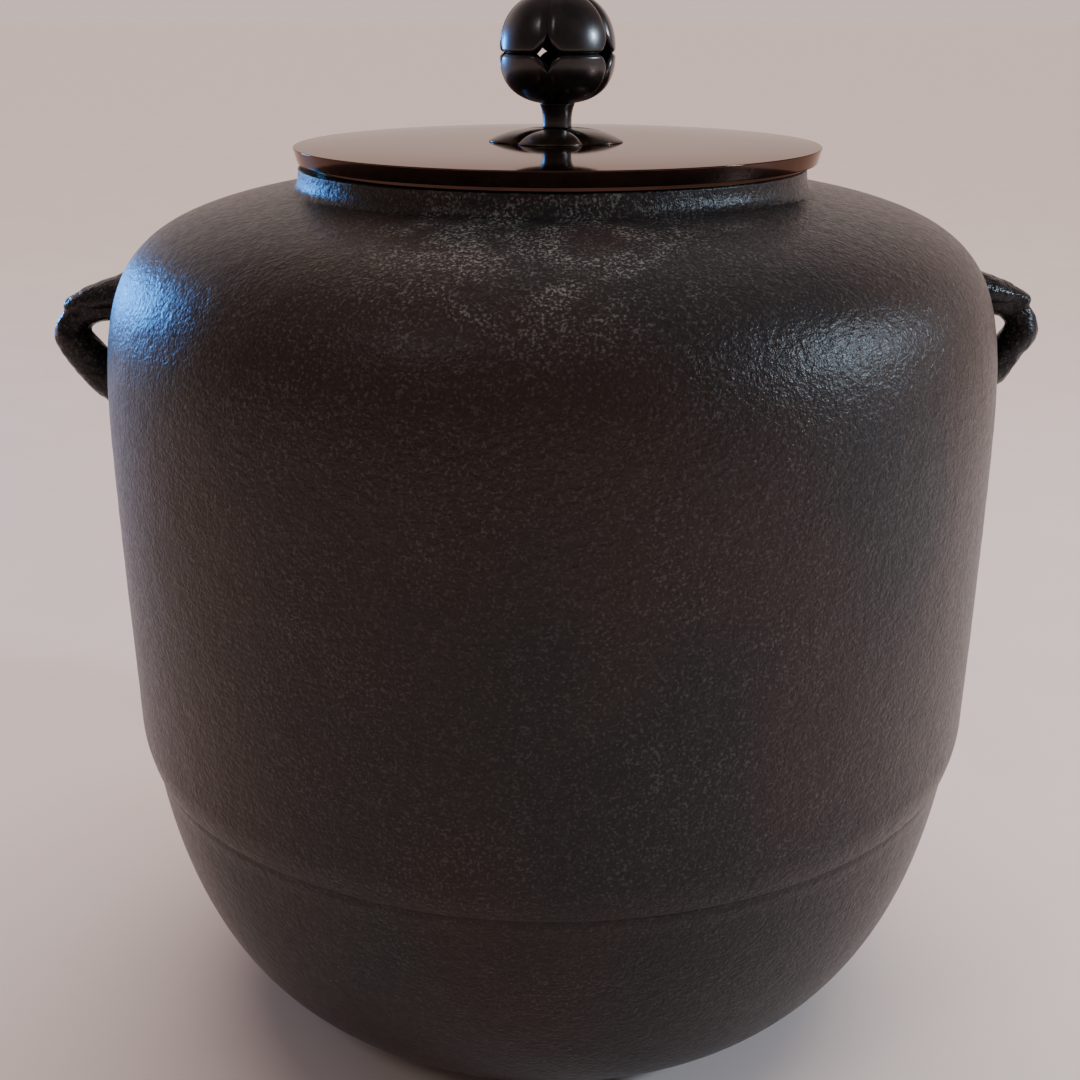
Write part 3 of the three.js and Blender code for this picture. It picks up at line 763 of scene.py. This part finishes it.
washer_outline = [(HOLE_RADIUS, washer_low[2]), (WASHER_RADIUS, washer_low[2]),
                  (WASHER_RADIUS, washer_high[2]), (HOLE_RADIUS, washer_high[2])]
washer_rows = turned_rows(refined(rounded(washer_outline, 0.3), 0.6), 128, centre=LID_CENTRE)
washer = grid_piece("hammered_washer", lumps(washer_rows, 3, 0.08, seed=1.0))
settle(washer, "rivet_washer", "lid", SEAT_BRONZE)

# %% [markdown]
# ## Pierced knob
# The knob is two thin cups that meet at the equator. Five flutes run up each cup and part it into puffed
# pads. Where a flute crosses the equator the metal is cut away to a four-pointed star, and the edges of the
# star are rolled in. Cutting stars with a boolean would leave ragged rims, so each cup is a grid whose
# first row already follows the star, and whose radius drops near a flute, the equator and a star.

# %% Knob outline and openings
FLUTES = 5
EQUATOR = box_mm("knob_upper_cup")[0][2]
KNOB_TOP = box_mm("knob_upper_cup")[1][2]
KNOB_RADIUS = 14.15
KNOB_TURN = math.radians(185)
STAR_HALF_WIDTH, STAR_POWER = 3.4, 0.8
FLUTE_DEPTH, FLUTE_HALF_WIDTH = 0.7, 2.1
GROOVE_DEPTH, GROOVE_HALF_HEIGHT = 0.8, 0.95
ROLL_DEPTH, ROLL_WIDTH = 0.6, 1.2
DEEPEST_OUTSIDE, DEEPEST_INSIDE = 1.6, 1.2


def well(distance, width):
    """1 at the middle line, falling to 0 at `width` along a curve that leaves a crease in the middle."""
    return np.clip(1 - distance / width, 0, 1) ** 2


def sunk_by(radius, height, phi, star_height):
    """How far the skin is pressed in at a point, by its flute, the equator's groove and the rolled star."""
    star = (np.abs(KNOB_RADIUS * phi / STAR_HALF_WIDTH) ** STAR_POWER
            + (height / star_height) ** STAR_POWER) ** (1 / STAR_POWER)
    to_star = np.hypot(KNOB_RADIUS * phi, height) * (1 - 1 / np.maximum(star, 1))
    fade = np.clip((radius - 1.5) / 4, 0, 1)
    flute = FLUTE_DEPTH * fade * well(np.abs(radius * phi), FLUTE_HALF_WIDTH)
    groove = GROOVE_DEPTH * well(height, GROOVE_HALF_HEIGHT)
    return np.maximum(flute, groove) + ROLL_DEPTH * well(to_star, ROLL_WIDTH)


print(f"the knob reaches {KNOB_TOP - EQUATOR:.1f} above its equator and {EQUATOR - lower_low[2]:.1f} below")

# %% One cup
def cup_rows(tall, direction, power, star_height, hole=0.0, columns_each=72, count=64):
    """Rings of a cup: down its outside from the pole to the star's rim, then back up its inside.

    direction is 1 for the upper cup and -1 for the lower one. hole is the radius of the hole at its pole.
    """
    share = np.linspace(-1, 1, columns_each, endpoint=False)
    phi = math.pi / FLUTES * np.sign(share) * np.abs(share) ** 1.5
    reach = np.clip(np.abs(KNOB_RADIUS * phi) / STAR_HALF_WIDTH, 0, 1)
    rim = star_height * np.clip(1 - reach ** STAR_POWER, 0, 1) ** (1 / STAR_POWER)
    first = np.arcsin((rim / tall) ** (power / 2))
    last = math.acos((hole / KNOB_RADIUS) ** (power / 2))
    outer, inner = [], []
    for s in np.linspace(0, 1, count) ** 1.25:
        t = first + (last - first) * s
        height = tall * np.sin(t) ** (2 / power)
        radius = KNOB_RADIUS * np.clip(np.cos(t), 0, 1) ** (2 / power)
        sunk = sunk_by(radius, height, phi, star_height)
        near_pole = np.clip(radius / 4, 0, 1)
        outer.append((radius - np.minimum(sunk, DEEPEST_OUTSIDE) * near_pole, height))
        within = radius * (KNOB_RADIUS - SHELL) / KNOB_RADIUS
        within = np.clip(within - 0.5 * np.minimum(sunk, DEEPEST_INSIDE) * near_pole, 0, None)
        lifted = rim + (height - rim) * np.clip((tall - SHELL - rim) / np.maximum(tall - rim, 0.1), 0, 1)
        inner.append((within, lifted))
    if hole:
        outer[-1] = (np.full_like(phi, hole), outer[-1][1])
        inner[-1] = (np.full_like(phi, hole), inner[-1][1])
    angles = np.concatenate([KNOB_TURN + 2 * math.pi / FLUTES * k + phi for k in range(FLUTES)])
    rows = []
    for radius, height in outer[::-1] + inner:
        radius, height = np.tile(radius, FLUTES), EQUATOR + direction * np.tile(height, FLUTES)
        x, y = LID_CENTRE + radius * np.cos(angles), radius * np.sin(angles)
        rows.append(np.stack([x, y, height], axis=1))
    return rows

# %% Both cups
upper_rows = cup_rows(KNOB_TOP - EQUATOR, 1, power=2.35, star_height=3.9)
lower_rows = cup_rows(EQUATOR - lower_low[2], -1, power=2.55, star_height=3.4, hole=3.2)
upper_half = grid_piece("knob_top_half", upper_rows, closed_rows=False)
lower_half = grid_piece("knob_bottom_half", lower_rows, closed_rows=True)
settle(upper_half, "knob_upper_cup", "lid", KNOB_BRONZE)
settle(lower_half, "knob_lower_cup", "lid", KNOB_BRONZE)

# %% [markdown]
# ## Camera
# The camera stands a little above the lid and looks down at the kettle. It could be aimed at a point with a
# constraint, but its tilt sets how the lid's oval lies against the wall, so the view is set by plain
# numbers instead: how far it stands from the axis, how high above the lid's rim, how far to the side, how
# far it tilts and how far it turns.

# %% Camera
CAMERA_BACK, CAMERA_ABOVE_LID, CAMERA_ASIDE = 366.3, 31.2, -3.0
CAMERA_TILT, CAMERA_TURN = math.radians(20.44), math.radians(-2.0)
LENS = 47.47

camera_data = bpy.data.cameras.new("Camera")
camera_data.lens = LENS
camera_data.sensor_width = 36
camera_data.clip_start = 0.01
camera = bpy.data.objects.new("Camera", camera_data)
sideways = np.array([math.cos(CAMERA_TURN), math.sin(CAMERA_TURN)])
forward = np.array([-math.sin(CAMERA_TURN), math.cos(CAMERA_TURN)])
spot = sideways * CAMERA_ASIDE - forward * CAMERA_BACK
camera.location = (spot[0] * MM, spot[1] * MM, (LID_RIM + CAMERA_ABOVE_LID) * MM)
camera.rotation_euler = (math.pi / 2 - CAMERA_TILT, 0, CAMERA_TURN)
bpy.context.scene.collection.objects.link(camera)
bpy.context.scene.camera = camera
print("camera at", [round(v, 4) for v in camera.location])

# %% [markdown]
# ## Floor
# The kettle stands on a pale, matt floor. A curved studio backdrop would catch a shadow line behind it, so
# the floor is one plane, so wide that its far edge melts into the sky.

# %% Floor
FLOOR_SIZE = 60

floor_finish, floor_shader, floor_place = new_finish("Pale floor", Roughness=0.75)
floor_place.noise(60, detail=3).mix((0.75, 0.62, 0.57), (0.81, 0.68, 0.64)).into(floor_shader, "Base Color")
bpy.ops.mesh.primitive_plane_add(size=FLOOR_SIZE, location=(0, 0, 0))
floor = bpy.context.object
floor.name = "Floor"
floor.data.materials.append(floor_finish)
print(f"floor: {FLOOR_SIZE} m wide")

# %% [markdown]
# ## Sky
# Dark bronze shows what it mirrors more than its own colour. An even grey sky would flatten the lid and the
# knob, so the sky is pale and warm behind the kettle and dim behind the viewer and overhead.

# %% Sky
DIM_SKY, PALE_SKY = (0.15, 0.125, 0.12), (0.84, 0.665, 0.61)

world = bpy.data.worlds.new("Pale sky")
world.use_nodes = True
backdrop = world.node_tree.nodes["Background"]
outwards = Wire(world.node_tree).node("ShaderNodeTexCoord", {}, {}, "Generated")
behind = outwards.part("Y").ramp(-0.2, 0.7) * outwards.part("Z").ramp(0.8, 0.25, 0.12, 1.0)
behind.mix(DIM_SKY, PALE_SKY).into(backdrop, "Color")
backdrop.inputs["Strength"].default_value = 1.02
bpy.context.scene.world = world
print("sky from", DIM_SKY, "to", PALE_SKY)

# %% [markdown]
# ## Lights
# A blue window stands low behind the kettle on the left, a small cool lamp on the right, and a faint warm
# fill in front. They are area lights and not lamps without a size, because their shapes show in the
# polished bronze and on the iron's shoulder. A wide sun gives the even daylight that the floor and the
# iron's own colour need. It is kept out of the reflections, and the window out of the floor's colour, so
# that each does one job.

# %% Softboxes
def softbox(name, direction, distance, size, power, colour):
    """An area light that faces the middle of the kettle from the given direction."""
    data = bpy.data.lights.new(name, "AREA")
    data.shape = "RECTANGLE"
    data.size, data.size_y = size
    data.energy = power
    data.color = colour
    light = bpy.data.objects.new(name, data)
    target = Vector((0, 0, 0.15))
    light.location = target + Vector(direction).normalized() * distance
    light.rotation_euler = (target - light.location).to_track_quat("-Z", "Y").to_euler()
    bpy.context.scene.collection.objects.link(light)
    print(f"{name}: {power} W")
    return light


window = softbox("Window", direction=(-0.70, 0.71, 0.10), distance=1.3, size=(0.24, 0.24), power=11.5,
                 colour=(0.02, 0.32, 1.0))
window.visible_diffuse = False
softbox("Lamp", direction=(0.91, -0.22, 0.35), distance=1.2, size=(0.15, 0.15), power=11.5,
        colour=(0.66, 0.83, 1.0))
softbox("Front fill", direction=(-0.50, -0.51, 0.69), distance=1.4, size=(0.30, 0.30), power=1.8,
        colour=(1.0, 0.96, 0.92))

# %% Daylight
daylight = bpy.data.lights.new("Soft daylight", "SUN")
daylight.energy = 3.05
daylight.angle = math.radians(70)
daylight.color = (1.0, 0.90, 0.85)
sun = bpy.data.objects.new("Soft daylight", daylight)
sun.rotation_euler = (math.radians(-24), math.radians(8), 0)
sun.visible_glossy = False
bpy.context.scene.collection.objects.link(sun)
print("daylight strength", daylight.energy)
